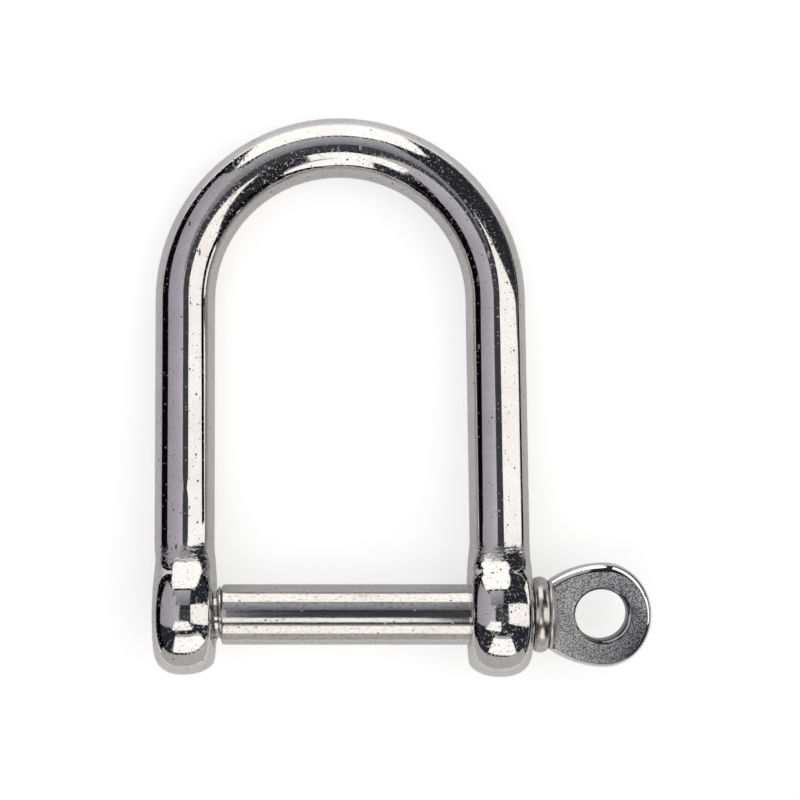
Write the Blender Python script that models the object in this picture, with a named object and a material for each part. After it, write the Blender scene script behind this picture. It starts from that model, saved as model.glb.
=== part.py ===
"""Wide D shackle with a screw pin: a forged bow, a collar ring, and a pin with a flat eye.

The shackle is modelled in its own frame: +X runs along the pin towards the eye, +Y towards the
crown of the bow, and the origin is on the pin's axis, midway between the ears. A parent empty
then lays it down, so that both ears and the crown rest on the ground plane.
"""

import math

import bpy
import bmesh
from mathutils import Vector

MM = 0.001

# Bow: a round bar bent into a half circle with two straight legs
BAR_RADIUS = 4.0 * MM
ARCH_RADIUS = 20.9 * MM
ARCH_HEIGHT = 41.95 * MM

# Ears: round bosses about the pin's axis, faced flat square to it on both sides
EAR_CENTRE = 21.1 * MM
EAR_RADIUS = 8.15 * MM
INNER_FACE = 17.05 * MM
THREADED_OUTER_FACE = 24.6 * MM
PLAIN_OUTER_FACE = 25.05 * MM
INNER_BULGE = 4.48 * MM
THREADED_OUTER_BULGE = 3.65 * MM
PLAIN_OUTER_BULGE = 4.07 * MM
WIDE_SPOT_FACE_RADIUS = 11.0 * MM
NARROW_SPOT_FACE_RADIUS = 5.7 * MM
EAR_FLAT_RADIUS = 5.2 * MM
EAR_RIM_POWER = 2.2
UPPER_DOMING = 0.3
NECK_FILLET = 7.0 * MM

# Thread: right-handed, the pin's ridge and the ear's wider groove
PITCH = 1.25 * MM
CREST_RADIUS = 3.72 * MM
ROOT_RADIUS = 3.1 * MM
CREST_WIDTH = 0.16 * MM
FLANK_WIDTH = 0.38 * MM
THREAD_CLEARANCE = 0.12 * MM

# Pin
SHANK_RADIUS = 4.0 * MM
SHANK_START = -15.9 * MM
SHANK_CHAMFER = 0.25 * MM
PIN_TIP = -25.0 * MM
TIP_CHAMFER = 0.6 * MM
PLAIN_HOLE_RADIUS = 4.2 * MM
MOUTH_RADIUS = 4.45 * MM

# Collar ring, between the plain ear and the boss of the eye
GAP = 0.3 * MM
COLLAR_RADIUS = 5.03 * MM
COLLAR_BORE = 4.3 * MM
COLLAR_WIDTH = 2.05 * MM
COLLAR_ROUND = 0.68 * MM

# Eye: a flat plate on a low dome at the end of the shank
BOSS_RADIUS = 4.6 * MM
BOSS_LENGTH = 0.85 * MM
EYE_WIDEST = 35.0 * MM
EYE_HALF_WIDTH = 6.88 * MM
EYE_NOSE = 6.2 * MM
EYE_FLARE_RADIUS = 13.0 * MM
EYE_HALF_THICKNESS = 1.6 * MM
EYE_BEVEL = 0.75 * MM
EYE_HOLE_CENTRE = 34.5 * MM
EYE_HOLE_RADIUS = 3.45 * MM
EYE_HOLE_BEVEL = 0.25 * MM

# Facets
SECTION_POINTS = 32
ARCH_STEPS = 24
ROUND_STEPS = 40
THREAD_STEPS = 24

COLLAR_START = PLAIN_OUTER_FACE + GAP
BOSS_START = COLLAR_START + COLLAR_WIDTH + GAP
EYE_START = BOSS_START + 0.05 * MM
EYE_END = EYE_WIDEST + EYE_NOSE
CROWN_CENTRE = ARCH_HEIGHT + ARCH_RADIUS
LAY_ANGLE = math.asin((EAR_RADIUS - BAR_RADIUS) / CROWN_CENTRE)


def clear_scene():
    for item in list(bpy.data.objects):
        bpy.data.objects.remove(item, do_unlink=True)


def steel(name, colour, roughness):
    material = bpy.data.materials.new(name)
    material.use_nodes = True
    shader = material.node_tree.nodes["Principled BSDF"]
    shader.inputs["Base Color"].default_value = (*colour, 1.0)
    shader.inputs["Metallic"].default_value = 1.0
    shader.inputs["Roughness"].default_value = roughness
    return material


def make_object(name, mesh_tool):
    bmesh.ops.recalc_face_normals(mesh_tool, faces=mesh_tool.faces)
    mesh = bpy.data.meshes.new(name)
    mesh_tool.to_mesh(mesh)
    mesh_tool.free()
    item = bpy.data.objects.new(name, mesh)
    bpy.context.scene.collection.objects.link(item)
    return item


def loft(name, rings, first_tip=None, last_tip=None):
    """A closed skin over rings of points, ended by a tip point or by a flat cap."""
    tool = bmesh.new()
    loops = [[tool.verts.new(point) for point in ring] for ring in rings]
    for lower, upper in zip(loops, loops[1:]):
        for i in range(len(lower)):
            j = (i + 1) % len(lower)
            tool.faces.new((lower[i], lower[j], upper[j], upper[i]))
    for loop, tip in ((loops[0], first_tip), (loops[-1], last_tip)):
        if tip is None:
            tool.faces.new(loop)
            continue
        point = tool.verts.new(tip)
        for i in range(len(loop)):
            tool.faces.new((loop[i], loop[(i + 1) % len(loop)], point))
    return make_object(name, tool)


def turned(name, profile):
    """A solid turned about the pin's axis from (place along X, radius) pairs."""
    angles = [2 * math.pi * i / ROUND_STEPS for i in range(ROUND_STEPS)]
    rings = [[Vector((x, r * math.cos(a), r * math.sin(a))) for a in angles] for x, r in profile]
    return loft(name, rings)


def boolean(item, cutter, operation):
    cutter.hide_render = True
    cutter.display_type = "WIRE"
    modifier = item.modifiers.new(cutter.name, "BOOLEAN")
    modifier.operation = operation
    modifier.solver = "EXACT"
    modifier.object = cutter


def smoothstep(low, high, value):
    t = min(1.0, max(0.0, (value - low) / (high - low)))
    return t * t * (3 - 2 * t)


# ---------------------------------------------------------------- bow


def rim(radius):
    """Share of the ear's thickness left at a distance from the pin's axis."""
    t = (radius - EAR_FLAT_RADIUS) / (EAR_RADIUS - EAR_FLAT_RADIUS)
    t = min(1.0, max(0.0, t))
    return (1 - t**EAR_RIM_POWER) ** (1 / EAR_RIM_POWER)


FILLET_TOP = math.sqrt((EAR_RADIUS + NECK_FILLET) ** 2 - (BAR_RADIUS + NECK_FILLET) ** 2)
FILLET_LOW = FILLET_TOP * EAR_RADIUS / (EAR_RADIUS + NECK_FILLET)


def half_depth(y):
    """Half the bow's depth across its plane: the ear's circle, a fillet, then the bar."""
    if y < FILLET_LOW:
        return math.sqrt(max(0.0, EAR_RADIUS**2 - y**2))
    if y < FILLET_TOP:
        return BAR_RADIUS + NECK_FILLET - math.sqrt(NECK_FILLET**2 - (FILLET_TOP - y) ** 2)
    return BAR_RADIUS


def section(y, outer_bulge):
    """Points of the section at height y, as (offset outwards along the pin, offset across)."""
    depth = half_depth(y)
    bar = smoothstep(FILLET_LOW, FILLET_TOP, y)
    ear_y = y if y < 0 else UPPER_DOMING * min(y, FILLET_LOW)
    ear_depth = half_depth(ear_y)
    points = []
    for i in range(SECTION_POINTS):
        angle = 2 * math.pi * i / SECTION_POINTS
        s = math.sin(angle)
        c = math.cos(angle)
        ear = rim(math.hypot(ear_y, ear_depth * s))
        if abs(c) < 1e-9:
            ear = 0.0
        ear *= outer_bulge if c > 0 else -INNER_BULGE
        points.append((ear * (1 - bar) + BAR_RADIUS * c * bar, depth * s))
    return points


def leg_heights():
    """Heights of the leg's sections, from just above the ear's lowest point to the arch."""
    lower = [-EAR_RADIUS * math.cos(math.radians(a)) for a in range(12, 90, 13)]
    round_part = [FILLET_LOW * i / 4 for i in range(4)]
    fillet = [FILLET_LOW + (FILLET_TOP - FILLET_LOW) * i / 6 for i in range(7)]
    return lower + round_part + fillet


def make_bow():
    heights = leg_heights()
    splay = (EAR_CENTRE - ARCH_RADIUS) / ARCH_HEIGHT
    rings = []

    def leg_ring(side, y):
        x = side * (ARCH_RADIUS + splay * (ARCH_HEIGHT - max(y, 0)))
        bulge = THREADED_OUTER_BULGE if side < 0 else PLAIN_OUTER_BULGE
        return [Vector((x + side * a, y, b)) for a, b in section(y, bulge)]

    for y in heights:
        rings.append(leg_ring(-1, y))
    for i in range(ARCH_STEPS + 1):
        angle = math.pi * (1 - i / ARCH_STEPS)
        out = Vector((math.cos(angle), math.sin(angle), 0))
        centre = Vector((0, ARCH_HEIGHT, 0)) + ARCH_RADIUS * out
        bar = section(ARCH_HEIGHT, BAR_RADIUS)
        rings.append([centre + a * out + Vector((0, 0, b)) for a, b in bar])
    for y in reversed(heights):
        rings.append(leg_ring(1, y))

    bow = loft(
        "bow", rings, Vector((-EAR_CENTRE, -EAR_RADIUS, 0)), Vector((EAR_CENTRE, -EAR_RADIUS, 0))
    )
    make_ear_faces(bow)
    make_plain_hole(bow)
    make_threaded_hole(bow)
    return bow


def make_ear_faces(bow):
    """Spot-faces both sides of each ear flat, square to the pin."""
    depth = 2 * MM
    for name, low, radius in (
        ("threaded_outer_face", -THREADED_OUTER_FACE - depth, NARROW_SPOT_FACE_RADIUS),
        ("threaded_inner_face", -INNER_FACE, WIDE_SPOT_FACE_RADIUS),
        ("plain_inner_face", INNER_FACE - depth, WIDE_SPOT_FACE_RADIUS),
        ("plain_outer_face", PLAIN_OUTER_FACE, WIDE_SPOT_FACE_RADIUS),
    ):
        boolean(bow, turned(name, [(low, radius), (low + depth, radius)]), "DIFFERENCE")


def hole_profile(low, high, radius):
    """A hole through an ear between its two faces, chamfered at both mouths."""
    over = 1 * MM
    chamfer = MOUTH_RADIUS - radius
    return [
        (low - over, MOUTH_RADIUS),
        (low, MOUTH_RADIUS),
        (low + chamfer, radius),
        (high - chamfer, radius),
        (high, MOUTH_RADIUS),
        (high + over, MOUTH_RADIUS),
    ]


def make_plain_hole(bow):
    profile = hole_profile(INNER_FACE, PLAIN_OUTER_FACE, PLAIN_HOLE_RADIUS)
    boolean(bow, turned("plain_hole", profile), "DIFFERENCE")


def make_threaded_hole(bow):
    root = ROOT_RADIUS + THREAD_CLEARANCE
    crest = CREST_RADIUS + THREAD_CLEARANCE
    groove = screw(
        "thread_groove",
        -THREADED_OUTER_FACE - 2 * PITCH,
        THREADED_OUTER_FACE - INNER_FACE + 4 * PITCH,
        root,
        crest,
        CREST_WIDTH + 2 * THREAD_CLEARANCE,
    )
    boolean(bow, groove, "DIFFERENCE")
    profile = hole_profile(-THREADED_OUTER_FACE, -INNER_FACE, root - 0.02 * MM)
    boolean(bow, turned("thread_mouths", profile), "DIFFERENCE")


def screw(name, start, length, root, crest, crest_width):
    """A threaded rod about the pin's axis. Every ridge passes the same place at the same angle."""
    first = math.floor(start / PITCH) * PITCH
    turns = math.ceil(length / PITCH) + 1
    profile = [
        (-crest_width / 2, crest),
        (crest_width / 2, crest),
        (crest_width / 2 + FLANK_WIDTH, root),
        (PITCH - crest_width / 2 - FLANK_WIDTH, root),
    ]
    rows = len(profile) * turns
    tool = bmesh.new()
    grid = []
    for k in range(rows):
        offset, radius = profile[k % 4]
        x = first + PITCH * (k // 4) + offset
        row = []
        for i in range(THREAD_STEPS):
            a = 2 * math.pi * i / THREAD_STEPS
            x_here = x + PITCH * i / THREAD_STEPS
            row.append(tool.verts.new((x_here, radius * math.cos(a), radius * math.sin(a))))
        grid.append(row)

    def corner(k, i):
        return grid[k][i] if i < THREAD_STEPS else grid[k + 4][0]

    for i in range(THREAD_STEPS):
        last_row = rows - 1 if i < THREAD_STEPS - 1 else rows - 5
        for k in range(last_row):
            tool.faces.new((corner(k, i), corner(k, i + 1), corner(k + 1, i + 1), corner(k + 1, i)))
    low_edge = grid[0] + [grid[k][0] for k in (4, 3, 2, 1)]
    high_edge = grid[-1] + [grid[rows - 1 - k][-1] for k in (1, 2, 3, 4)]
    for edge in (low_edge, high_edge):
        middle = sum(vert.co.x for vert in edge) / len(edge)
        tip = tool.verts.new((middle, 0, 0))
        for i in range(len(edge)):
            tool.faces.new((edge[i], edge[(i + 1) % len(edge)], tip))
    return make_object(name, tool)


# ---------------------------------------------------------------- pin and collar


def make_pin():
    dome = [
        (BOSS_START, BOSS_RADIUS - 0.1 * MM),
        (BOSS_START + 0.1 * MM, BOSS_RADIUS),
        (BOSS_START + 0.45 * BOSS_LENGTH, 0.88 * BOSS_RADIUS),
        (BOSS_START + 0.8 * BOSS_LENGTH, 0.62 * BOSS_RADIUS),
        (BOSS_START + BOSS_LENGTH, 0.3 * BOSS_RADIUS),
    ]
    pin = turned(
        "pin",
        [
            (SHANK_START, SHANK_RADIUS - SHANK_CHAMFER),
            (SHANK_START + SHANK_CHAMFER, SHANK_RADIUS),
            (BOSS_START, SHANK_RADIUS),
            *dome,
        ],
    )
    boolean(pin, make_eye_plate(), "UNION")
    boolean(pin, make_eye_hole(), "DIFFERENCE")
    boolean(pin, make_thread(), "UNION")
    return pin


def make_thread():
    inside_shank = SHANK_START + 1.0 * MM
    thread = screw(
        "thread",
        PIN_TIP - PITCH,
        inside_shank - PIN_TIP + 2 * PITCH,
        ROOT_RADIUS,
        CREST_RADIUS,
        CREST_WIDTH,
    )
    clear = CREST_RADIUS + 0.1 * MM
    envelope = turned(
        "thread_envelope",
        [(PIN_TIP, clear - TIP_CHAMFER), (PIN_TIP + TIP_CHAMFER, clear), (inside_shank, clear)],
    )
    boolean(thread, envelope, "INTERSECT")
    return thread


def eye_outline():
    """The eye's edge as (place, outward normal) pairs: two flared sides and a rounded nose."""
    reach = EYE_WIDEST - EYE_START
    flare_angle = math.asin(reach / EYE_FLARE_RADIUS)
    flare_steps = 8
    nose_steps = 24
    outline = []

    def flare_point(side, t):
        angle = flare_angle * t
        normal = Vector((-math.sin(angle), side * math.cos(angle), 0))
        centre = Vector((EYE_WIDEST, side * (EYE_HALF_WIDTH - EYE_FLARE_RADIUS), 0))
        return centre + EYE_FLARE_RADIUS * normal, normal

    for i in range(flare_steps):
        outline.append(flare_point(-1, 1 - i / flare_steps))
    for i in range(nose_steps + 1):
        angle = math.pi * (i / nose_steps - 0.5)
        place = Vector((EYE_NOSE * math.cos(angle), EYE_HALF_WIDTH * math.sin(angle), 0))
        normal = Vector((math.cos(angle) / EYE_NOSE, math.sin(angle) / EYE_HALF_WIDTH, 0))
        outline.append((place + Vector((EYE_WIDEST, 0, 0)), normal.normalized()))
    for i in range(1, flare_steps + 1):
        outline.append(flare_point(1, i / flare_steps))
    return outline


def make_eye_plate():
    outline = eye_outline()
    rings = []
    for inset, z in (
        (EYE_BEVEL, -EYE_HALF_THICKNESS),
        (0.0, -EYE_HALF_THICKNESS / 2),
        (0.0, EYE_HALF_THICKNESS / 2),
        (EYE_BEVEL, EYE_HALF_THICKNESS),
    ):
        ring = []
        for place, normal in outline:
            point = place - inset * normal
            ring.append(Vector((max(point.x, EYE_START), point.y, z)))
        rings.append(ring)
    return loft("eye_plate", rings)


def make_eye_hole():
    """A round hole across the eye, bevelled at both mouths."""
    wide = EYE_HOLE_RADIUS + EYE_HOLE_BEVEL
    depth = EYE_HALF_THICKNESS - EYE_HOLE_BEVEL
    over = EYE_HALF_THICKNESS + 0.5 * MM
    profile = [
        (-over, wide),
        (-EYE_HALF_THICKNESS, wide),
        (-depth, EYE_HOLE_RADIUS),
        (depth, EYE_HOLE_RADIUS),
        (EYE_HALF_THICKNESS, wide),
        (over, wide),
    ]
    rings = []
    for z, radius in profile:
        ring = []
        for i in range(ROUND_STEPS):
            a = 2 * math.pi * i / ROUND_STEPS
            ring.append(
                Vector((EYE_HOLE_CENTRE + radius * math.cos(a), radius * math.sin(a), z))
            )
        rings.append(ring)
    return loft("eye_hole", rings)


def make_collar():
    """A ring with rounded shoulders, turned as a closed loop of sections round the axis."""
    end = COLLAR_START + COLLAR_WIDTH
    inner = COLLAR_RADIUS - COLLAR_ROUND
    corner_steps = 4
    profile = [(COLLAR_START, COLLAR_BORE)]
    for i in range(corner_steps + 1):
        a = math.pi / 2 * i / corner_steps
        x = COLLAR_START + COLLAR_ROUND * (1 - math.sin(a))
        profile.append((x, inner + COLLAR_ROUND * math.cos(a)))
    left = [(COLLAR_START, COLLAR_BORE)] + profile[:0:-1]
    right = [(COLLAR_START + end - x, r) for x, r in reversed(left)]
    loop = left + right
    tool = bmesh.new()
    rings = []
    for i in range(ROUND_STEPS):
        a = 2 * math.pi * i / ROUND_STEPS
        rings.append([tool.verts.new((x, r * math.cos(a), r * math.sin(a))) for x, r in loop])
    for i in range(ROUND_STEPS):
        here = rings[i]
        beyond = rings[(i + 1) % ROUND_STEPS]
        for k in range(len(loop)):
            m = (k + 1) % len(loop)
            tool.faces.new((here[k], here[m], beyond[m], beyond[k]))
    return make_object("collar", tool)


def finish_surface(item, material, sharp_angle):
    item.data.materials.append(material)
    item.data.shade_smooth()
    item.data.set_sharp_from_angle(angle=math.radians(sharp_angle))


def lay_down(bow, pin, collar):
    """Parents the shackle to an empty that lays it on the ground, centred on its own box."""
    middle_x = (EYE_END + PIN_TIP) / 2
    crown_y = CROWN_CENTRE * math.cos(LAY_ANGLE) + BAR_RADIUS
    lay = bpy.data.objects.new("lay", None)
    bpy.context.scene.collection.objects.link(lay)
    lay.location = (-middle_x, -(crown_y - EAR_RADIUS) / 2, EAR_RADIUS)
    lay.rotation_euler = (-LAY_ANGLE, 0, 0)
    for item in bpy.data.objects:
        if item is not lay:
            item.parent = lay
    # The eye is turned flat to the ground, and its tools with it
    turned_back = [pin, collar]
    turned_back += [modifier.object for modifier in pin.modifiers]
    turned_back += [bpy.data.objects["thread_envelope"]]
    for item in turned_back:
        item.rotation_euler = (LAY_ANGLE, 0, 0)


def main():
    clear_scene()
    bow = make_bow()
    pin = make_pin()
    collar = make_collar()
    finish_surface(bow, steel("polished_steel", (0.74, 0.73, 0.72), 0.08), 40)
    finish_surface(pin, steel("drawn_steel", (0.66, 0.65, 0.64), 0.24), 30)
    finish_surface(collar, steel("satin_steel", (0.60, 0.57, 0.54), 0.3), 35)
    lay_down(bow, pin, collar)
    bpy.context.view_layer.update()


main()
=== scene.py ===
"""Looks of the wide D shackle: detailed meshes, procedural steels, a white table and soft light.

Everything is made in the shackle's own frame in millimetres: +X along the pin to the eye, +Y to
the crown, origin on the pin's axis between the ears. LAID then puts the bow into the row frame,
and LEVEL the pin and the collar, whose axis lies level.
"""

import math

import bpy
import bmesh
import numpy as np
from mathutils import Matrix, Vector, noise


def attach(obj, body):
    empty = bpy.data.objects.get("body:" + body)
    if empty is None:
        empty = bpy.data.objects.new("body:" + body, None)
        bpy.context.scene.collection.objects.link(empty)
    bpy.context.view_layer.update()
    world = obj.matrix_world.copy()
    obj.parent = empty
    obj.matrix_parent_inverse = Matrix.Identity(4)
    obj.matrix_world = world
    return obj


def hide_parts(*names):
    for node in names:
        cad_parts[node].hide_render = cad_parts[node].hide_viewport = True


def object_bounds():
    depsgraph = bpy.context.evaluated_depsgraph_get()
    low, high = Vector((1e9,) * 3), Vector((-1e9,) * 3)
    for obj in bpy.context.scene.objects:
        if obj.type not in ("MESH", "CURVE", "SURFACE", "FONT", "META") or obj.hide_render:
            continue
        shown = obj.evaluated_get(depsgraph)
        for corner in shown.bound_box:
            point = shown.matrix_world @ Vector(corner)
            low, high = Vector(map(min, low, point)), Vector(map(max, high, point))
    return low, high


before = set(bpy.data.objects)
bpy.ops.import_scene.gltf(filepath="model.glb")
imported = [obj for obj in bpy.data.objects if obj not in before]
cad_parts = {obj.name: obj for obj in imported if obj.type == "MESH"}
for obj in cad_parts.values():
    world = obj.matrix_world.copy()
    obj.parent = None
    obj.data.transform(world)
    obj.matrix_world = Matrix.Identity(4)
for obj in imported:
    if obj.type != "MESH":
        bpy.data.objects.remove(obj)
CAD_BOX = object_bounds()

MM = 0.001

# The part's own dimensions, in millimetres, as the CAD has them
BAR_RADIUS = 4.0
ARCH_RADIUS = 20.9
ARCH_HEIGHT = 41.95
EAR_CENTRE = 21.1
EAR_RADIUS = 8.15
INNER_FACE = 17.05
THREADED_OUTER_FACE = 24.6
PLAIN_OUTER_FACE = 25.05
INNER_BULGE = 4.48
THREADED_OUTER_BULGE = 3.65
PLAIN_OUTER_BULGE = 4.07
WIDE_SPOT_FACE_RADIUS = 11.0
NARROW_SPOT_FACE_RADIUS = 5.7
EAR_FLAT_RADIUS = 5.2
EAR_RIM_POWER = 2.2
PITCH = 1.25
CREST_RADIUS = 3.72
ROOT_RADIUS = 3.1
CREST_WIDTH = 0.16
FLANK_WIDTH = 0.38
THREAD_CLEARANCE = 0.12
SHANK_RADIUS = 4.0
SHANK_START = -15.9
PIN_TIP = -25.0
PLAIN_HOLE_RADIUS = 4.2
MOUTH_RADIUS = 4.45
COLLAR_RADIUS = 5.03
COLLAR_BORE = 4.3
COLLAR_START = 25.35
COLLAR_WIDTH = 2.05
BOSS_START = 27.7
BOSS_RADIUS = 4.6
EYE_WIDEST = 35.0
EYE_HALF_WIDTH = 6.88
EYE_NOSE = 6.2
EYE_FLARE_RADIUS = 13.0
EYE_HALF_THICKNESS = 1.6

# What the photo shows more finely than the CAD has it: fuller ears with tighter necks, an eye hole
# that isn't quite round or central, a bow that leans, and ears that reach down unevenly
UPPER_DOMING = 0.7
NECK_FILLET = 5.2
EYE_HOLE_CENTRE = (34.5, 0.1)
EYE_HOLE_RADII = (3.48, 3.36)
LEAN = -0.0078
LEAN_FROM = 18.0
LOWER_REACH = {-1: 0.976, 1: 1.011}

CROWN_CENTRE = ARCH_HEIGHT + ARCH_RADIUS
LAY_ANGLE = math.asin((EAR_RADIUS - BAR_RADIUS) / CROWN_CENTRE)
MIDDLE_X = (EYE_WIDEST + EYE_NOSE + PIN_TIP) / 2
MIDDLE_Y = (CROWN_CENTRE * math.cos(LAY_ANGLE) + BAR_RADIUS - EAR_RADIUS) / 2
SHIFT = Matrix.Translation(Vector((-MIDDLE_X, -MIDDLE_Y, EAR_RADIUS)) * MM)
LEVEL = SHIFT @ Matrix.Scale(MM, 4)
LAID = SHIFT @ Matrix.Rotation(-LAY_ANGLE, 4, "X") @ Matrix.Scale(MM, 4)

# ---------------------------------------------------------------- mesh helpers


def new_object(name, data):
    item = bpy.data.objects.new(name, data)
    bpy.context.scene.collection.objects.link(item)
    return item


def grid_mesh(name, rings, first_tip=None, last_tip=None, closed=False):
    """A skin over rings of points; the rings close on themselves or end in tips or caps."""
    rings = np.asarray(rings, dtype=float)
    rows, count, _ = rings.shape
    points = [tuple(p) for p in rings.reshape(-1, 3)]
    faces = []
    for r in range(rows if closed else rows - 1):
        low = r * count
        high = ((r + 1) % rows) * count
        for i in range(count):
            j = (i + 1) % count
            faces.append((low + i, low + j, high + j, high + i))
    if not closed:
        for start, tip in ((0, first_tip), ((rows - 1) * count, last_tip)):
            loop = [start + i for i in range(count)]
            if tip is None:
                faces.append(tuple(loop))
                continue
            points.append(tuple(tip))
            end = len(points) - 1
            faces += [(loop[i], loop[(i + 1) % count], end) for i in range(count)]
    mesh = bpy.data.meshes.new(name)
    mesh.from_pydata(points, [], faces)
    tool = bmesh.new()
    tool.from_mesh(mesh)
    bmesh.ops.recalc_face_normals(tool, faces=tool.faces)
    tool.to_mesh(mesh)
    tool.free()
    return new_object(name, mesh)


def turned(name, profile, steps=96):
    """A solid turned about the pin's axis from (place along X, radius) pairs."""
    angles = 2 * np.pi * np.arange(steps) / steps
    rings = [
        np.stack([np.full(steps, x), r * np.cos(angles), r * np.sin(angles)], axis=1)
        for x, r in profile
    ]
    return grid_mesh(name, rings)


def turned_loop(name, profile, steps=128):
    """A ring turned about the pin's axis from a closed loop of (place, radius) pairs."""
    rings = []
    for i in range(steps):
        a = 2 * math.pi * i / steps
        rings.append([(x, r * math.cos(a), r * math.sin(a)) for x, r in profile])
    return grid_mesh(name, rings, closed=True)


def cut(item, tools):
    """Applies a list of (tool, operation) to item and removes the tools."""
    for tool, operation in tools:
        modifier = item.modifiers.new("cut", "BOOLEAN")
        modifier.operation = operation
        modifier.solver = "EXACT"
        modifier.object = tool
    bpy.context.view_layer.update()
    graph = bpy.context.evaluated_depsgraph_get()
    mesh = bpy.data.meshes.new_from_object(item.evaluated_get(graph))
    old = item.data
    item.modifiers.clear()
    item.data = mesh
    bpy.data.meshes.remove(old)
    for tool, _ in tools:
        bpy.data.objects.remove(tool, do_unlink=True)


def smoothstep(low, high, value):
    t = min(1.0, max(0.0, (value - low) / (high - low)))
    return t * t * (3 - 2 * t)


def arc(centre, radius_x, radius_y, first, last, steps):
    """Points of an ellipse's arc, angles in degrees from the first axis."""
    points = []
    for i in range(steps + 1):
        a = math.radians(first + (last - first) * i / steps)
        points.append((centre[0] + radius_x * math.cos(a), centre[1] + radius_y * math.sin(a)))
    return points


# ---------------------------------------------------------------- bow

RING_POINTS = 144
ARCH_STEPS = 110
EAR_STEP_DEGREES = 3
EAR_STEP = 0.3
LEG_ROWS = 46
FLAT_ENOUGH = 1e-9
FILLET_TOP = math.sqrt((EAR_RADIUS + NECK_FILLET) ** 2 - (BAR_RADIUS + NECK_FILLET) ** 2)
FILLET_LOW = FILLET_TOP * EAR_RADIUS / (EAR_RADIUS + NECK_FILLET)


def rim(radius):
    """How much of an ear's bulge is left at a distance from the pin's axis, from 1 down to 0."""
    t = np.clip((radius - EAR_FLAT_RADIUS) / (EAR_RADIUS - EAR_FLAT_RADIUS), 0.0, 1.0)
    return (1 - t**EAR_RIM_POWER) ** (1 / EAR_RIM_POWER)


def half_depth(y):
    """Half the bow's thickness at height y: the round ear, the neck's fillet, then the bar."""
    if y < FILLET_LOW:
        return math.sqrt(max(0.0, EAR_RADIUS**2 - y**2))
    if y < FILLET_TOP:
        return BAR_RADIUS + NECK_FILLET - math.sqrt(NECK_FILLET**2 - (FILLET_TOP - y) ** 2)
    return BAR_RADIUS


def section(y, outer_bulge):
    """Points of the bow's section at height y: offsets along the pin and across the plane."""
    angle = 2 * np.pi * np.arange(RING_POINTS) / RING_POINTS
    s = np.sin(angle)
    c = np.cos(angle)
    c[np.abs(c) < FLAT_ENOUGH] = 0.0
    depth = half_depth(y)
    bar = smoothstep(FILLET_LOW, FILLET_TOP, y)
    ear_y = y if y < 0 else UPPER_DOMING * min(y, FILLET_LOW)
    ear = rim(np.hypot(ear_y, half_depth(ear_y) * s))
    ear = np.where(c > 0, ear * outer_bulge, -ear * INNER_BULGE)
    ear[c == 0.0] = 0.0
    return ear * (1 - bar) + BAR_RADIUS * c * bar, depth * s


def leg_heights():
    """Heights of the sections from the foot of an ear to the start of the arch."""
    angles = range(EAR_STEP_DEGREES, 90, EAR_STEP_DEGREES)
    lower = [-EAR_RADIUS * math.cos(math.radians(a)) for a in angles]
    ear = list(np.arange(0.0, FILLET_TOP, EAR_STEP))
    leg = list(np.linspace(FILLET_TOP, ARCH_HEIGHT, LEG_ROWS))[:-1]
    return lower + ear + leg


NECK_HEIGHT = 8.3
NECK_SPREAD = 1.1
NICK_PLACE = (-20.75, 16.9)
NICK_RADIUS = 0.42
NICK_HEIGHT = 0.05


def bow_waviness(p):
    """How far polishing left the forging from its true shape, in millimetres."""
    v = Vector(p)
    wave = 0.010 * noise.noise(v * 0.16)
    wave += 0.004 * noise.noise(v * 0.45 + Vector((7, 3, 1)))
    ear = 1 - smoothstep(8.0, 13.0, v.y)
    wave += ear * 0.016 * noise.noise(v * 0.30 + Vector((2, 9, 4)))
    neck = math.exp(-(((v.y - NECK_HEIGHT) / NECK_SPREAD) ** 2))
    folds = Vector((v.x * 1.1, v.y * 2.2, v.z * 1.1))
    wave += neck * 0.028 * noise.noise(folds + Vector((5, 5, 5)))
    if v.z > 0:
        nick = math.hypot(v.x - NICK_PLACE[0], v.y - NICK_PLACE[1])
        wave += NICK_HEIGHT * math.exp(-((nick / NICK_RADIUS) ** 2))
    return wave


def leg_ring(side, y):
    """A section of the left leg and ear (side -1) or the right (side 1) at height y."""
    along, across = section(y, THREADED_OUTER_BULGE if side < 0 else PLAIN_OUTER_BULGE)
    splay = (EAR_CENTRE - ARCH_RADIUS) / ARCH_HEIGHT
    x = side * (ARCH_RADIUS + splay * (ARCH_HEIGHT - max(y, 0)))
    if y < 0:
        y *= LOWER_REACH[side]
    return np.stack([x + side * along, np.full(RING_POINTS, y), across], axis=1)


def hole_profile(low, high, radius):
    """A tool for a hole with chamfered mouths at low and high, 1 mm longer at each end."""
    chamfer = MOUTH_RADIUS - radius
    return [
        (low - 1, MOUTH_RADIUS),
        (low, MOUTH_RADIUS),
        (low + chamfer, radius),
        (high - chamfer, radius),
        (high, MOUTH_RADIUS),
        (high + 1, MOUTH_RADIUS),
    ]


SPOT_FACE_DEPTH = 2
LEAN_BLEND = (3.0, 12.0)
THREAD_OVERRUN = 2 * PITCH
MOUTH_OVERLAP = 0.02


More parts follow.
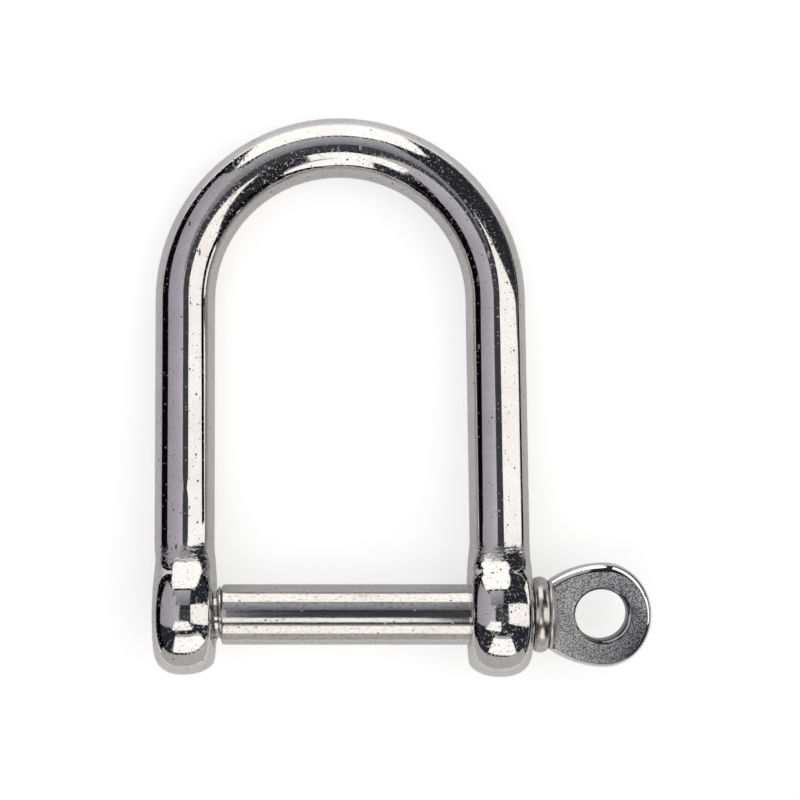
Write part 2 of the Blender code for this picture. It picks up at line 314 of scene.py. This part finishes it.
def make_bow():
    """The forging: swept bar and ears, its spot faces, and its plain and threaded holes."""
    heights = leg_heights()
    rings = [leg_ring(-1, y) for y in heights]
    along, across = section(ARCH_HEIGHT, BAR_RADIUS)
    reach = ARCH_RADIUS + along
    for i in range(ARCH_STEPS + 1):
        a = math.pi * (1 - i / ARCH_STEPS)
        rings.append(
            np.stack([reach * math.cos(a), ARCH_HEIGHT + reach * math.sin(a), across], axis=1)
        )
    rings += [leg_ring(1, y) for y in reversed(heights)]
    tips = [(side * EAR_CENTRE, -EAR_RADIUS * LOWER_REACH[side], 0) for side in (-1, 1)]
    bow = grid_mesh("bow_forging", rings, *tips)
    normals = [v.normal.copy() for v in bow.data.vertices]
    for v, n in zip(bow.data.vertices, normals):
        v.co += bow_waviness(v.co) * n
        v.co.x += LEAN * (v.co.y - LEAN_FROM) * smoothstep(*LEAN_BLEND, v.co.y)
    tools = []
    for low, radius in (
        (-THREADED_OUTER_FACE - SPOT_FACE_DEPTH, NARROW_SPOT_FACE_RADIUS),
        (-INNER_FACE, WIDE_SPOT_FACE_RADIUS),
        (INNER_FACE - SPOT_FACE_DEPTH, WIDE_SPOT_FACE_RADIUS),
        (PLAIN_OUTER_FACE, WIDE_SPOT_FACE_RADIUS),
    ):
        disc = turned("spot_face", [(low, radius), (low + SPOT_FACE_DEPTH, radius)])
        tools.append((disc, "DIFFERENCE"))
    profile = hole_profile(INNER_FACE, PLAIN_OUTER_FACE, PLAIN_HOLE_RADIUS)
    tools.append((turned("plain_hole", profile), "DIFFERENCE"))
    root = ROOT_RADIUS + THREAD_CLEARANCE
    crest = CREST_RADIUS + THREAD_CLEARANCE
    groove = screw(
        "groove",
        -THREADED_OUTER_FACE - THREAD_OVERRUN,
        THREADED_OUTER_FACE - INNER_FACE + 2 * THREAD_OVERRUN,
        root,
        crest,
        CREST_WIDTH + 2 * THREAD_CLEARANCE,
    )
    tools.append((groove, "DIFFERENCE"))
    profile = hole_profile(-THREADED_OUTER_FACE, -INNER_FACE, root - MOUTH_OVERLAP)
    tools.append((turned("mouths", profile), "DIFFERENCE"))
    cut(bow, tools)
    return bow


def screw(name, start, length, root, crest, crest_width, steps=48):
    """A threaded rod about the pin's axis, its ridge at the same places as the part's own."""
    first = math.floor(start / PITCH) * PITCH
    turns = math.ceil(length / PITCH) + 1
    profile = [
        (-crest_width / 2, crest),
        (crest_width / 2, crest),
        (crest_width / 2 + FLANK_WIDTH, root),
        (PITCH - crest_width / 2 - FLANK_WIDTH, root),
    ]
    per_turn = len(profile)
    rows = per_turn * turns
    tool = bmesh.new()
    grid = []
    for k in range(rows):
        offset, radius = profile[k % per_turn]
        x = first + PITCH * (k // per_turn) + offset
        row = []
        for i in range(steps):
            a = 2 * math.pi * i / steps
            here = (x + PITCH * i / steps, radius * math.cos(a), radius * math.sin(a))
            row.append(tool.verts.new(here))
        grid.append(row)

    def corner(k, i):
        return grid[k][i] if i < steps else grid[k + per_turn][0]

    for i in range(steps):
        for k in range(rows - 1 if i < steps - 1 else rows - 1 - per_turn):
            tool.faces.new((corner(k, i), corner(k, i + 1), corner(k + 1, i + 1), corner(k + 1, i)))
    low_edge = grid[0] + [grid[k][0] for k in range(per_turn, 0, -1)]
    high_edge = grid[-1] + [grid[rows - 1 - k][-1] for k in range(1, per_turn + 1)]
    for edge in (low_edge, high_edge):
        middle = sum(vert.co.x for vert in edge) / len(edge)
        tip = tool.verts.new((middle, 0, 0))
        for i in range(len(edge)):
            tool.faces.new((edge[i], edge[(i + 1) % len(edge)], tip))
    bmesh.ops.recalc_face_normals(tool, faces=tool.faces)
    mesh = bpy.data.meshes.new(name)
    tool.to_mesh(mesh)
    tool.free()
    return new_object(name, mesh)


# ---------------------------------------------------------------- pin and collar

PIN_STEPS = 128
SHANK_ROUND = 0.3
TIP_CHAMFER = 0.6
BOSS_DOME = 0.95
# The eye's edge is part of an ellipse, ground in more on one side and less on the nose
EDGE_INSET = 1.4
EDGE_SHOULDER = 0.58
EDGE_DROP = 1.1
EDGE_ARC_END = 112
SIDE_SKEW = 0.27
NOSE_SKEW = -0.12
# The rounded mouths of the eye's hole, whose outer edges aren't quite concentric with it
MOUTH_ROUND = 0.55
MOUTH_SKEW = (0.3, -0.2)
HOLE_STEPS = 112
HOLE_OVERRUN = 0.3
COLLAR_ROUND = 0.7
SAME_POINT = 0.01


def make_shank():
    """The shank and its thread, with the end of the shank rounded off."""
    end = BOSS_START + 0.3
    profile = [(SHANK_START, SHANK_RADIUS - SHANK_ROUND - 0.05)]
    middle = (SHANK_START + SHANK_ROUND, SHANK_RADIUS - SHANK_ROUND)
    profile += arc(middle, SHANK_ROUND, SHANK_ROUND, 180, 90, 5)
    profile += [(x, SHANK_RADIUS) for x in np.linspace(SHANK_START + 0.8, end, 40)]
    shank = turned("pin_shank", profile, PIN_STEPS)
    inside = SHANK_START + 1.0
    start = PIN_TIP - PITCH
    length = inside - PIN_TIP + 2 * PITCH
    thread = screw("thread", start, length, ROOT_RADIUS, CREST_RADIUS, CREST_WIDTH)
    clear = CREST_RADIUS + 0.1
    envelope = turned(
        "envelope",
        [(PIN_TIP, clear - TIP_CHAMFER), (PIN_TIP + TIP_CHAMFER, clear), (inside, clear)],
    )
    cut(thread, [(envelope, "INTERSECT")])
    cut(shank, [(thread, "UNION")])
    return shank


def make_boss():
    """The low dome that the eye grows out of."""
    profile = [(BOSS_START - 0.2, BOSS_RADIUS - 0.25), (BOSS_START - 0.18, BOSS_RADIUS - 0.04)]
    profile += [(BOSS_START, BOSS_RADIUS)]
    profile += [(x, r) for r, x in arc((0, BOSS_START), BOSS_RADIUS, BOSS_DOME, 4, 84, 16)]
    return turned("pin_boss", profile, PIN_STEPS)


def eye_outline():
    """The eye's edge as (place, outward normal) pairs: two flared sides and a rounded nose."""
    reach = EYE_WIDEST - (BOSS_START + 0.05)
    flare_angle = math.asin(reach / EYE_FLARE_RADIUS)
    outline = []

    def flare_point(side, t):
        a = flare_angle * t
        normal = Vector((-math.sin(a), side * math.cos(a), 0))
        centre = Vector((EYE_WIDEST, side * (EYE_HALF_WIDTH - EYE_FLARE_RADIUS), 0))
        return centre + EYE_FLARE_RADIUS * normal, normal

    flare_steps = 30
    nose_steps = 90
    for i in range(flare_steps):
        outline.append(flare_point(-1, 1 - i / flare_steps))
    for i in range(nose_steps + 1):
        a = math.pi * (i / nose_steps - 0.5)
        spot = Vector((EYE_WIDEST + EYE_NOSE * math.cos(a), EYE_HALF_WIDTH * math.sin(a), 0))
        normal = Vector((math.cos(a) / EYE_NOSE, math.sin(a) / EYE_HALF_WIDTH, 0))
        outline.append((spot, normal.normalized()))
    for i in range(1, flare_steps + 1):
        outline.append(flare_point(1, i / flare_steps))
    return outline


def make_eye():
    """The flat eye: polished rounded edges, plain faces and a bored hole with rounded mouths."""
    outline = eye_outline()
    edge = arc((EDGE_INSET, EDGE_SHOULDER), EDGE_INSET, EDGE_DROP, 180, EDGE_ARC_END, 14)
    profile = [(inset, -z) for inset, z in reversed(edge)] + [(0.0, 0.0)] + edge
    rings = []
    for inset, z in profile:
        ring = []
        for p, n in outline:
            uneven = 1 + SIDE_SKEW * n.y + NOSE_SKEW * n.x
            ring.append(tuple(p - inset * uneven * n)[:2] + (z,))
        rings.append(ring)
    eye = grid_mesh("pin_eye", rings)
    wall = EYE_HALF_THICKNESS - MOUTH_ROUND
    side = [(MOUTH_ROUND + 0.25, EYE_HALF_THICKNESS + HOLE_OVERRUN)]
    side += arc((MOUTH_ROUND, wall), MOUTH_ROUND, MOUTH_ROUND, 90, 180, 8)
    hole = [(r, -z) for r, z in side] + [(r, z) for r, z in reversed(side)]
    rings = []
    for r, z in hole:
        ring = []
        for i in range(HOLE_STEPS):
            a = 2 * math.pi * i / HOLE_STEPS
            x = EYE_HOLE_CENTRE[0] + MOUTH_SKEW[0] * r + (EYE_HOLE_RADII[0] + r) * math.cos(a)
            y = EYE_HOLE_CENTRE[1] + MOUTH_SKEW[1] * r + (EYE_HOLE_RADII[1] + r) * math.sin(a)
            ring.append((x, y, z))
        rings.append(ring)
    cut(eye, [(grid_mesh("eye_hole", rings), "DIFFERENCE")])
    return eye


def make_collar():
    """The ring behind the ear: a barrel with full shoulders."""
    end = COLLAR_START + COLLAR_WIDTH
    middle = (COLLAR_START + end) / 2
    barrel = []
    for i in range(33):
        a = math.pi * i / 32
        x = middle - COLLAR_WIDTH / 2 * math.cos(a)
        barrel.append((x, COLLAR_RADIUS - COLLAR_ROUND * (1 - math.sin(a))))
    loop = [(COLLAR_START, COLLAR_BORE)] + barrel + [(end, COLLAR_BORE)]
    clean = [loop[0]]
    for point in loop[1:]:
        if math.dist(point, clean[-1]) > SAME_POINT:
            clean.append(point)
    return turned_loop("collar_ring", clean)


# ---------------------------------------------------------------- materials

# Noise scales are in cycles per metre and bump distances in metres. Heights along the bow, in
# millimetres of the row frame: where its ears start, its neck's crease, and where its crown starts
EARS_FROM = (-18.5, -21.5)
NECK_CREASE = -20.7
CREASE_WIDTH = (1.6, 0.5)
CROWN_FROM = (10.0, 24.0)
# Distances in millimetres: how far below the eye's faces their grain and the painted shade along
# their crease end, where along the pin the faces turn from pale to dark, and the edge of the
# painted shade in the bore from its centre
GRAIN_EDGE = (0.03, 0.012)
CREASE_SHADE_EDGE = (0.11, 0.05)
TONE_FROM = (20.0, 33.0)
BORE_SHADE_EDGE = (3.66, 3.58)


class Graph:
    """Short calls for building a material's nodes."""

    def __init__(self, name):
        self.material = bpy.data.materials.new(name)
        self.material.use_nodes = True
        self.tree = self.material.node_tree
        self.shader = self.tree.nodes["Principled BSDF"]

    def add(self, kind, **values):
        node = self.tree.nodes.new(kind)
        for key, value in values.items():
            if hasattr(node, key):
                setattr(node, key, value)
                continue
            socket = node.inputs[key.replace("_", " ")]
            if hasattr(value, "is_output"):
                self.tree.links.new(value, socket)
            else:
                socket.default_value = value
        return node

    def link(self, out, into):
        self.tree.links.new(out, into)

    def math(self, operation, a, b=None, clamp=False):
        node = self.tree.nodes.new("ShaderNodeMath")
        node.operation = operation
        node.use_clamp = clamp
        for socket, value in zip(node.inputs, (a, b)):
            if value is None:
                continue
            if hasattr(value, "is_output"):
                self.link(value, socket)
            else:
                socket.default_value = value
        return node.outputs[0]

    def coords(self, scale=(1, 1, 1)):
        place = self.add("ShaderNodeTexCoord").outputs["Object"]
        mapping = self.add("ShaderNodeMapping", Vector=place, Scale=scale)
        return mapping.outputs[0]

    def noise(self, scale, detail=2.0, roughness=0.5, stretch=(1, 1, 1), distortion=0.0):
        node = self.add(
            "ShaderNodeTexNoise",
            Vector=self.coords(stretch),
            Scale=scale,
            Detail=detail,
            Roughness=roughness,
            Distortion=distortion,
        )
        return node.outputs[0]

    def ramp(self, value, low, high, out_low=0.0, out_high=1.0):
        node = self.add("ShaderNodeMapRange", Value=value)
        node.inputs["From Min"].default_value = low
        node.inputs["From Max"].default_value = high
        node.inputs["To Min"].default_value = out_low
        node.inputs["To Max"].default_value = out_high
        return node.outputs[0]

    def pits(self, scale, size, share, stretch=(1, 1, 1)):
        """1 in a share of small round or drawn-out spots, 0 elsewhere."""
        cells = self.add("ShaderNodeTexVoronoi", Vector=self.coords(stretch), Scale=scale)
        spot = self.ramp(cells.outputs["Distance"], size, size * 0.45)
        pick = self.add("ShaderNodeSeparateColor", Color=cells.outputs["Color"])
        chosen = self.ramp(pick.outputs[0], share, share * 0.9)
        return self.math("MULTIPLY", spot, chosen)

    def colour(self, mask, a, b):
        node = self.tree.nodes.new("ShaderNodeMix")
        node.data_type = "RGBA"
        self.link(mask, node.inputs[0])
        for socket, value in ((node.inputs[6], a), (node.inputs[7], b)):
            if hasattr(value, "is_output"):
                self.link(value, socket)
            else:
                socket.default_value = (*value, 1.0)
        return node.outputs[2]

    def bump(self, height, distance, strength=1.0, normal=None):
        node = self.add("ShaderNodeBump", Height=height, Distance=distance, Strength=strength)
        if normal is not None:
            self.link(normal, node.inputs["Normal"])
        return node.outputs[0]

    def metal(self, colour, roughness, normal):
        self.shader.inputs["Metallic"].default_value = 1.0
        self.link(colour, self.shader.inputs["Base Color"])
        self.link(roughness, self.shader.inputs["Roughness"])
        self.link(normal, self.shader.inputs["Normal"])
        return self.material


def polished_steel():
    """Buffed forging: mirror-bright, with pits, drag marks and a faint orange peel."""
    g = Graph("polished_steel")
    small = g.pits(950.0, 0.16, 0.32)
    fine = g.pits(2300.0, 0.22, 0.26)
    drag = g.pits(700.0, 0.12, 0.2, (1.0, 0.28, 1.0))
    pits = g.math("MAXIMUM", g.math("MAXIMUM", small, g.math("MULTIPLY", fine, 0.7)), drag)
    grit = g.ramp(g.noise(4600.0, 2.0, 0.6), 0.56, 0.72)
    haze = g.noise(240.0, 4.0, 0.6)
    clean = g.colour(g.ramp(haze, 0.35, 0.7), (0.65, 0.635, 0.62), (0.72, 0.71, 0.705))
    clean = g.colour(g.math("MULTIPLY", grit, 0.5), clean, (0.40, 0.39, 0.385))
    colour = g.colour(pits, clean, (0.20, 0.19, 0.18))
    rough = g.ramp(haze, 0.3, 0.75, 0.035, 0.075)
    rough = g.math("ADD", rough, g.math("MULTIPLY", pits, 0.3))
    place = g.add("ShaderNodeTexCoord").outputs["Object"]
    along = g.add("ShaderNodeSeparateXYZ", Vector=place).outputs[1]
    ears = g.ramp(along, EARS_FROM[0] * MM, EARS_FROM[1] * MM, 0.06, 0.30)
    crown = g.ramp(along, CROWN_FROM[0] * MM, CROWN_FROM[1] * MM, 0.0, 0.22)
    mottle = g.ramp(g.noise(2700.0, 2.0, 0.7), 0.54, 0.66)
    rough = g.math("ADD", rough, g.math("MULTIPLY", mottle, g.math("ADD", ears, crown)))
    peel = g.bump(g.noise(330.0, 2.0), 0.000004)
    lines = g.bump(g.noise(1400.0, 2.0, 0.6, (1.0, 0.05, 1.0)), 0.0000012, 1.0, peel)
    off_crease = g.math("ABSOLUTE", g.math("SUBTRACT", along, NECK_CREASE * MM))
    neck = g.ramp(off_crease, CREASE_WIDTH[0] * MM, CREASE_WIDTH[1] * MM)
    wrinkles = g.math("MULTIPLY", g.noise(1500.0, 3.0, 0.65, (0.6, 1.4, 1.0)), neck)
    lines = g.bump(wrinkles, 0.00009, 1.0, lines)
    normal = g.bump(g.math("MULTIPLY", pits, -1.0), 0.00003, 1.0, lines)
    return g.metal(colour, rough, normal)


def drawn_steel():
    """Drawn bar: fine lines along the shank, with small pits."""
    g = Graph("drawn_steel")
    lines = g.noise(2600.0, 3.0, 0.65, (0.045, 1.0, 1.0))
    wide = g.noise(800.0, 2.0, 0.5, (0.03, 1.0, 1.0))
    pits = g.pits(1500.0, 0.16, 0.5, (0.55, 1.0, 1.0))
    grit = g.ramp(g.noise(3400.0, 2.0, 0.6, (0.6, 1.0, 1.0)), 0.54, 0.68)
    clean = g.colour(g.ramp(lines, 0.3, 0.7), (0.56, 0.545, 0.53), (0.68, 0.67, 0.66))
    clean = g.colour(g.math("MULTIPLY", grit, 0.6), clean, (0.34, 0.33, 0.32))
    colour = g.colour(pits, clean, (0.24, 0.22, 0.20))
    rough = g.ramp(lines, 0.3, 0.7, 0.10, 0.17)
    rough = g.math("ADD", rough, g.math("MULTIPLY", pits, 0.3))
    normal = g.bump(wide, 0.000006)
    normal = g.bump(lines, 0.0000022, 1.0, normal)
    normal = g.bump(g.math("MULTIPLY", pits, -1.0), 0.00002, 1.0, normal)
    return g.metal(colour, rough, normal)


def satin_steel(name, dark, light, dull):
    """Turned steel with a warm cast, from dark to light in fine patches."""
    g = Graph(name)
    rings = g.noise(2200.0, 3.0, 0.6, (1.0, 0.06, 0.06))
    spots = g.noise(1500.0, 4.0, 0.7)
    colour = g.colour(g.ramp(spots, 0.3, 0.7), dark, light)
    rough = g.ramp(spots, 0.3, 0.7, dull, dull + 0.07)
    normal = g.bump(rings, 0.000003)
    normal = g.bump(spots, 0.000005, 1.0, normal)
    return g.metal(colour, rough, normal)


def eye_steel():
    """Eye: blasted grainy faces, and edges and a hole that are polished smooth, with painted shade
    in the hole and along the crease around each face.
    """
    g = Graph("eye_steel")
    place = g.add("ShaderNodeTexCoord").outputs["Object"]
    height = g.add("ShaderNodeSeparateXYZ", Vector=place).outputs[2]
    lifted = g.math("ABSOLUTE", g.math("SUBTRACT", height, EAR_RADIUS * MM))
    face, crease_shade = (
        g.ramp(lifted, (EYE_HALF_THICKNESS - low) * MM, (EYE_HALF_THICKNESS - high) * MM)
        for low, high in (GRAIN_EDGE, CREASE_SHADE_EDGE)
    )
    grain = g.math("MULTIPLY", g.noise(5200.0, 1.0, 0.5), 0.96)
    hatch = g.add("ShaderNodeTexWave", Vector=place, Scale=1100.0, Distortion=3.0, Detail=2.0)
    hatch.bands_direction = "DIAGONAL"
    grain = g.math("ADD", grain, g.math("MULTIPLY", hatch.outputs[1], 0.04))
    along = g.add("ShaderNodeSeparateXYZ", Vector=place).outputs[0]
    tone = g.ramp(along, TONE_FROM[0] * MM, TONE_FROM[1] * MM)
    tone = g.math("ADD", tone, g.math("SUBTRACT", g.noise(260.0, 2.0), 0.5), True)
    pale = g.colour(tone, (0.86, 0.86, 0.87), (0.33, 0.34, 0.375))
    dark = g.colour(tone, (0.30, 0.30, 0.31), (0.055, 0.062, 0.078))
    grit = g.colour(g.ramp(grain, 0.42, 0.58), dark, pale)
    coarse = g.noise(900.0, 3.0, 0.6)
    shade = g.colour(g.ramp(coarse, 0.35, 0.7), (0.74, 0.73, 0.72), (0.86, 0.85, 0.84))
    # Painted shade: a dark line along the crease just below each face
    shade = g.colour(crease_shade, shade, (0.10, 0.10, 0.10))
    colour = g.colour(face, shade, grit)
    hole = Vector((EYE_HOLE_CENTRE[0] - MIDDLE_X, EYE_HOLE_CENTRE[1] - MIDDLE_Y, 0)) * MM
    offset = g.add("ShaderNodeVectorMath", operation="SUBTRACT")
    g.link(place, offset.inputs[0])
    offset.inputs[1].default_value = hole
    flat = g.add("ShaderNodeVectorMath", operation="MULTIPLY")
    g.link(offset.outputs[0], flat.inputs[0])
    flat.inputs[1].default_value = (1.0, 1.0, 0.0)
    reach = g.add("ShaderNodeVectorMath", operation="LENGTH")
    g.link(flat.outputs[0], reach.inputs[0])
    # Painted shade: the bore's wall is painted dark
    bore_shade = g.ramp(reach.outputs["Value"], BORE_SHADE_EDGE[0] * MM, BORE_SHADE_EDGE[1] * MM)
    colour = g.colour(bore_shade, colour, (0.16, 0.155, 0.15))
    rough = g.math("ADD", g.math("MULTIPLY", face, 0.33), 0.06)
    normal = g.bump(g.math("MULTIPLY", grain, face), 0.00006)
    return g.metal(colour, rough, normal)


# ---------------------------------------------------------------- the object


def finish_piece(item, material, placing, body, node=None, sharp=35.0):
    """Dresses a piece, lays it into the row frame, ties it to its body and hides its CAD node."""
    item.data.materials.clear()
    item.data.materials.append(material)
    item.data.transform(placing)
    item.data.shade_smooth()
    item.data.set_sharp_from_angle(angle=math.radians(sharp))
    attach(item, body)
    if node:
        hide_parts(node)


finish_piece(make_bow(), polished_steel(), LAID, "bow", "bow")
finish_piece(make_shank(), drawn_steel(), LEVEL, "pin", "pin", 30.0)
BOSS_STEEL = satin_steel("boss_steel", (0.56, 0.54, 0.52), (0.70, 0.68, 0.66), 0.30)
COLLAR_STEEL = satin_steel("collar_steel", (0.50, 0.465, 0.44), (0.68, 0.65, 0.63), 0.19)
finish_piece(make_boss(), BOSS_STEEL, LEVEL, "pin")
finish_piece(make_eye(), eye_steel(), LEVEL, "pin")
finish_piece(make_collar(), COLLAR_STEEL, LEVEL, "collar", "collar")

# ---------------------------------------------------------------- studio


def emitter(name, colour, strength, top=None):
    """An evenly lit card, or one that fades from colour at its foot to top at its head."""
    material = bpy.data.materials.new(name)
    material.use_nodes = True
    nodes = material.node_tree.nodes
    nodes.clear()
    out = nodes.new("ShaderNodeOutputMaterial")
    glow = nodes.new("ShaderNodeEmission")
    glow.inputs["Color"].default_value = (*colour, 1.0)
    glow.inputs["Strength"].default_value = strength
    if top is not None:
        place = nodes.new("ShaderNodeTexCoord")
        split = nodes.new("ShaderNodeSeparateXYZ")
        mix = nodes.new("ShaderNodeMix")
        mix.data_type = "RGBA"
        mix.inputs[6].default_value = (*colour, 1.0)
        mix.inputs[7].default_value = (*top, 1.0)
        material.node_tree.links.new(place.outputs["Generated"], split.inputs[0])
        material.node_tree.links.new(split.outputs[2], mix.inputs[0])
        material.node_tree.links.new(mix.outputs[2], glow.inputs["Color"])
    material.node_tree.links.new(glow.outputs[0], out.inputs[0])
    return material


def reflected_only(item, material):
    """Makes item part of the studio, seen only in reflections and as light."""
    item.data.materials.append(material)
    item.visible_camera = False
    item.visible_shadow = False
    return item


def card(name, corners, material):
    """A flat card from its corners in millimetres."""
    mesh = bpy.data.meshes.new(name)
    mesh.from_pydata([Vector(c) * MM for c in corners], [], [tuple(range(len(corners)))])
    return reflected_only(new_object(name, mesh), material)


WARM = (1.0, 0.975, 0.945)

# Far card, beyond the crown, shaped to taper the squares at the necks, and a dim one above it
far_corners = [(-76, 150, 0), (40, 150, 0), (53, 149, 40), (60, 148, 95)]
far_corners += [(46, 147, 131), (-96, 147, 131), (-94, 148, 95), (-87, 149, 40)]
card("far_card", far_corners, emitter("far_light", WARM, 1.55))
card(
    "far_card_high",
    [(-64, 140, 143), (24, 140, 143), (24, 56, 202), (-64, 56, 202)],
    emitter("far_high_light", (0.56, 0.56, 0.58), 1.0, (0.22, 0.22, 0.24)),
)
# Near card, which runs away obliquely below the pin, its dim head and foot, and a bright high card
card(
    "near_card",
    [(-137, -409, 149), (38, -78, 26), (38, -78, 74), (-137, -409, 520)],
    emitter("near_light", WARM, 1.5),
)
card(
    "near_card_head",
    [(-137, -409, 520), (38, -78, 74), (38, -78, 90), (-137, -409, 644)],
    emitter("near_head_light", (0.52, 0.51, 0.50), 1.0),
)
card(
    "near_card_foot",
    [(-70, -72, 0), (55, -72, 0), (55, -72, 24), (-70, -72, 24)],
    emitter("near_foot_light", (0.56, 0.54, 0.52), 1.0),
)
card(
    "near_card_high",
    [(-62, -68, 105), (12, -68, 105), (12, -48, 201), (-62, -48, 201)],
    emitter("near_high_light", WARM, 1.45),
)
# Right card, a long slope that leans in over the eye
card(
    "right_card",
    [(620, -165, 22), (620, 60, 22), (105, 165, 420), (105, -95, 420)],
    emitter("right_light", WARM, 1.36),
)
# Left card, dim and cool, above its black foot
card(
    "left_card",
    [(-132, -48, 59), (-132, 160, 59), (-46, 150, 300), (-46, -116, 300)],
    emitter("left_light", (0.43, 0.41, 0.46), 1.0, (0.68, 0.65, 0.71)),
)
# Black cards low down, kept out of diffuse light so that they print no grey on the table
BLACK = emitter("black", (0.003, 0.003, 0.004), 1.0)
left_foot = [(-139, -260, 0.2), (-139, 260, 0.2), (-132, 260, 59), (-132, -260, 59)]
right_foot = [(64, -300, 0.3), (400, -300, 0.3), (400, 300, 0.3), (64, 300, 0.3)]
# Painted shade: the black flag between the legs stands in for the shaded table there, seen only in
# the steel
shade_flag = [(-5, -17, 11.5), (-5, 20, 11.5), (-5, 20, 16.6), (-5, -17, 16.6)]
low_cards = (("left_foot", left_foot), ("right_foot", right_foot), ("shade_flag", shade_flag))
for name, corners in low_cards:
    card(name, corners, BLACK).visible_diffuse = False
# Small bright card beyond the eye
card(
    "eye_card",
    [(31.5, -13, 11.5), (42, -23.5, 11.5), (42, -23.5, 17.5), (31.5, -13, 17.5)],
    emitter("eye_light", WARM, 1.4),
)
# The dim room behind the cards, without a floor
ROOM_HALF = 0.9
ROOM_HEIGHT = 1.1
room_plan = [(-ROOM_HALF, -ROOM_HALF), (ROOM_HALF, -ROOM_HALF)]
room_plan += [(ROOM_HALF, ROOM_HALF), (-ROOM_HALF, ROOM_HALF)]
room = bpy.data.meshes.new("room")
room.from_pydata(
    [(x, y, z) for z in (0.0, ROOM_HEIGHT) for x, y in room_plan],
    [],
    [(0, 1, 5, 4), (1, 2, 6, 5), (2, 3, 7, 6), (3, 0, 4, 7), (4, 5, 6, 7)],
)
reflected_only(new_object("room", room), emitter("room_light", (0.026, 0.029, 0.036), 1.0))
# Dark ceiling about the camera
card(
    "ceiling",
    [(-90, -90, 421), (104, -90, 421), (104, 100, 421), (-90, 100, 421)],
    emitter("ceiling_light", (0.062, 0.065, 0.073), 1.0),
)


TABLE_HALF = 1.2
TABLE_GAP = 0.00002
SPILL_FROM = (31.0, 115.0)
SPILL_GLOW = (0.20, 0.80)


def table_graph(name, low, high, glow):
    """White laminate: a faint grain between two greys, with a glow of its own."""
    g = Graph(name)
    grain = g.noise(900.0, 3.0, 0.6)
    shade = g.colour(grain, (low, low, low), (high, high, high))
    g.link(shade, g.shader.inputs["Base Color"])
    g.shader.inputs["Roughness"].default_value = 0.9
    g.shader.inputs["Specular IOR Level"].default_value = 0.0
    g.shader.inputs["Emission Color"].default_value = (1.0, 1.0, 1.0, 1.0)
    g.shader.inputs["Emission Strength"].default_value = glow
    g.link(g.bump(grain, 0.00002), g.shader.inputs["Normal"])
    return g


def table_top(name, z, material):
    """A square table top at height z, in metres."""
    half = TABLE_HALF
    mesh = bpy.data.meshes.new(name)
    mesh.from_pydata(
        [(-half, -half, z), (half, -half, z), (half, half, z), (-half, half, z)], [], [(0, 1, 2, 3)]
    )
    item = new_object(name, mesh)
    mesh.materials.append(material)
    return item


# The table is brighter to the eye than in the steel, where it would drown the edges. In the steel
# it glows more, the further a place lies from the middle along Y: painted light, standing in for
# the cards' light spilling onto the table, and painted shade near the middle
table = table_top("table", 0.0, table_graph("table_white", 0.60, 0.64, 0.60).material)
table.visible_glossy = False
table.visible_diffuse = False
grey = table_graph("table_grey", 0.66, 0.72, 0.0)
place = grey.add("ShaderNodeTexCoord").outputs["Object"]
along = grey.add("ShaderNodeSeparateXYZ", Vector=place).outputs[1]
reach = grey.math("ABSOLUTE", along)
spill = grey.ramp(reach, SPILL_FROM[0] * MM, SPILL_FROM[1] * MM, *SPILL_GLOW)
grey.link(spill, grey.shader.inputs["Emission Strength"])
table_in_steel = table_top("table_in_steel", -TABLE_GAP, grey.material)
table_in_steel.visible_camera = False

# Soft light from above for the table, hidden from the steel
fill = bpy.data.lights.new("table_fill", "AREA")
fill.shape = "RECTANGLE"
fill.size = 0.9
fill.size_y = 0.9
fill.energy = 2.2
fill_object = new_object("table_fill", fill)
fill_object.location = (0, 0, 0.6)
fill_object.visible_glossy = False
fill_object.visible_camera = False

scene = bpy.context.scene
world = bpy.data.worlds.new("studio")
scene.world = world
world.use_nodes = True
background = world.node_tree.nodes["Background"]
background.inputs["Color"].default_value = (0.93, 0.93, 0.93, 1.0)
background.inputs["Strength"].default_value = 1.0
world.cycles_visibility.glossy = False
world.cycles_visibility.diffuse = False
scene.view_settings.view_transform = "Standard"

# ---------------------------------------------------------------- camera

camera = bpy.data.cameras.new("camera")
camera.sensor_width = 36.0
camera.lens = 81.6
camera.clip_start = 0.01
camera.clip_end = 20.0
camera.shift_x = 0.0625
camera.shift_y = -0.03125
camera_object = new_object("camera", camera)
camera_object.location = (-6.981 * MM, 2.65 * MM, 250 * MM)
scene.camera = camera_object

bpy.context.view_layer.update()
corners = [[float(v) for v in corner] for corner in CAD_BOX]
